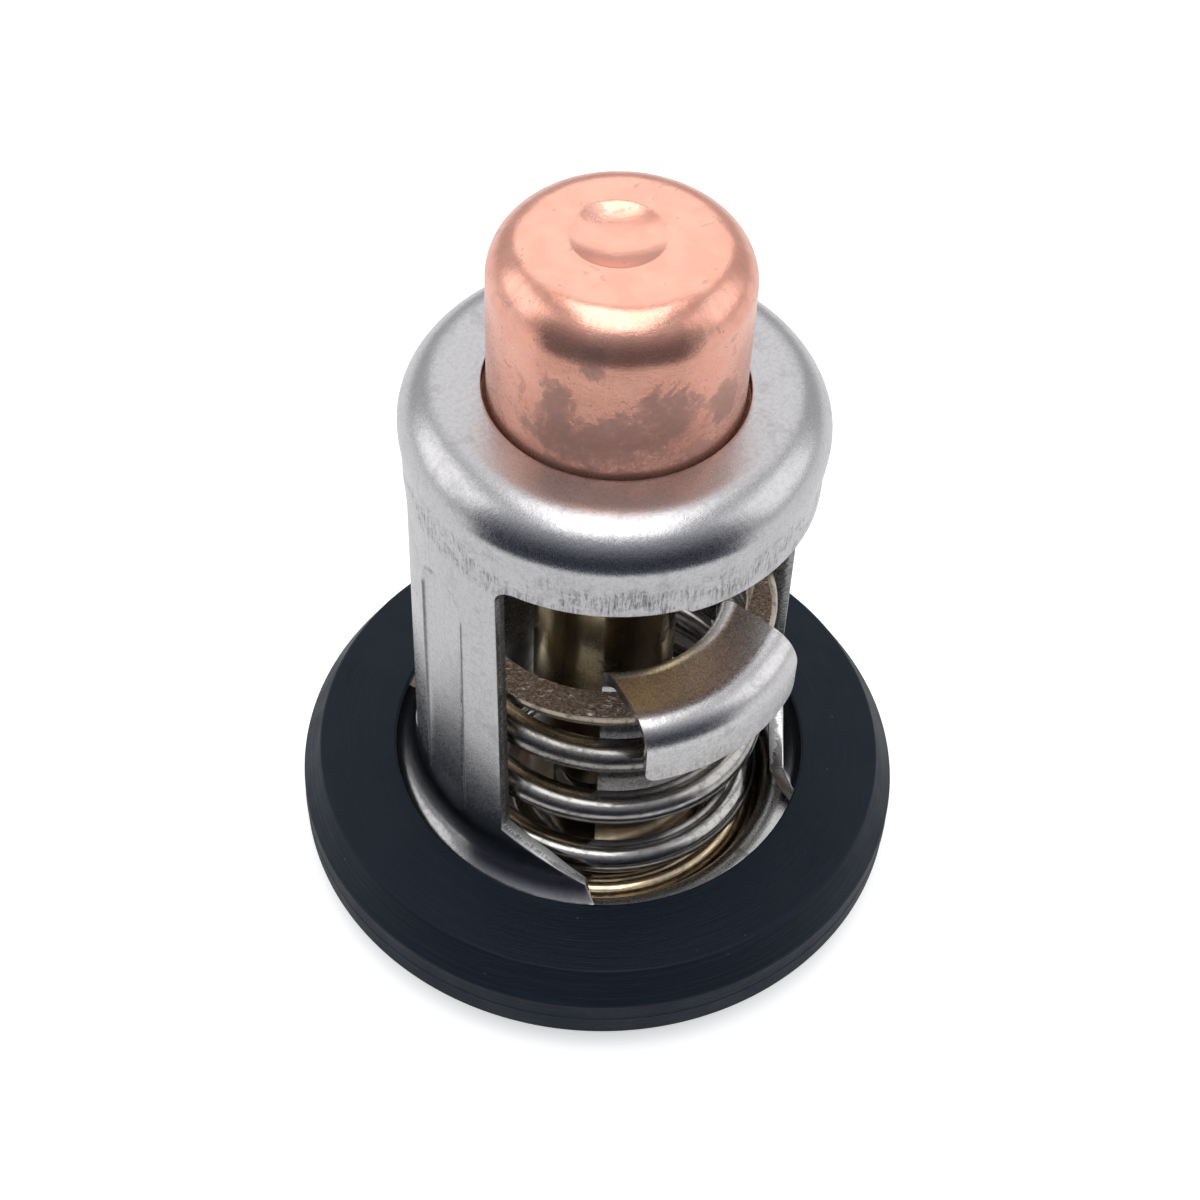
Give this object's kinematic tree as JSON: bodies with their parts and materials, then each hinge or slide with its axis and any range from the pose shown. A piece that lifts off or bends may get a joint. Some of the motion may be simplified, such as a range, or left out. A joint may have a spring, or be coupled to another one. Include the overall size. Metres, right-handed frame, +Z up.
{
  "type": "engine thermostat",
  "caption": "Wax-element engine thermostat: copper sensing cup in a drawn cage with two flow windows, sprung valve and rubber sealing ring.",
  "frame": {"origin": "centre of the sealing ring's underside", "axes": "+Z up the axis from the sealing ring to the copper cup, the cage windows face -Y and +Y, the legs stand at -X and +X"},
  "size_m": [0.04, 0.04, 0.0505],
  "materials": {
    "seal_rubber": "moulded satin",
    "cage_steel": "drawn, fine brushed",
    "pan_steel": "drawn, satin",
    "disc_steel": "pressed, satin",
    "yoke_steel": "bent, satin",
    "button_steel": "turned",
    "spring_steel": "drawn wire, bright",
    "cup_copper": "drawn copper with oxide blotches",
    "guide_brass": "turned",
    "piston_steel": "ground",
    "wax": "waxy",
    "diaphragm_rubber": "moulded",
    "plug_rubber": "moulded",
    "backup_ptfe": "matte"
  },
  "bodies": {
    "housing": {"seal_ring": "seal_rubber", "cage": "cage_steel", "seat_pan": "pan_steel", "copper_cup": "cup_copper", "wax_charge": "wax", "diaphragm": "diaphragm_rubber", "brass_guide": "guide_brass", "spring": "spring_steel"},
    "valve": {"valve_disc": "disc_steel", "yoke": "yoke_steel", "thrust_button": "button_steel", "piston": "piston_steel", "backup_disc": "backup_ptfe", "rubber_plug": "plug_rubber"}
  },
  "joints": [
    {"name": "valve_lift", "type": "slide", "parent": "housing", "child": "valve", "axis": [0, 0, -1], "range_m": [0, 0.0045], "stiffness_N_per_m": 2500, "springref_m": -0.004, "deforming": ["spring"]}
  ]
}
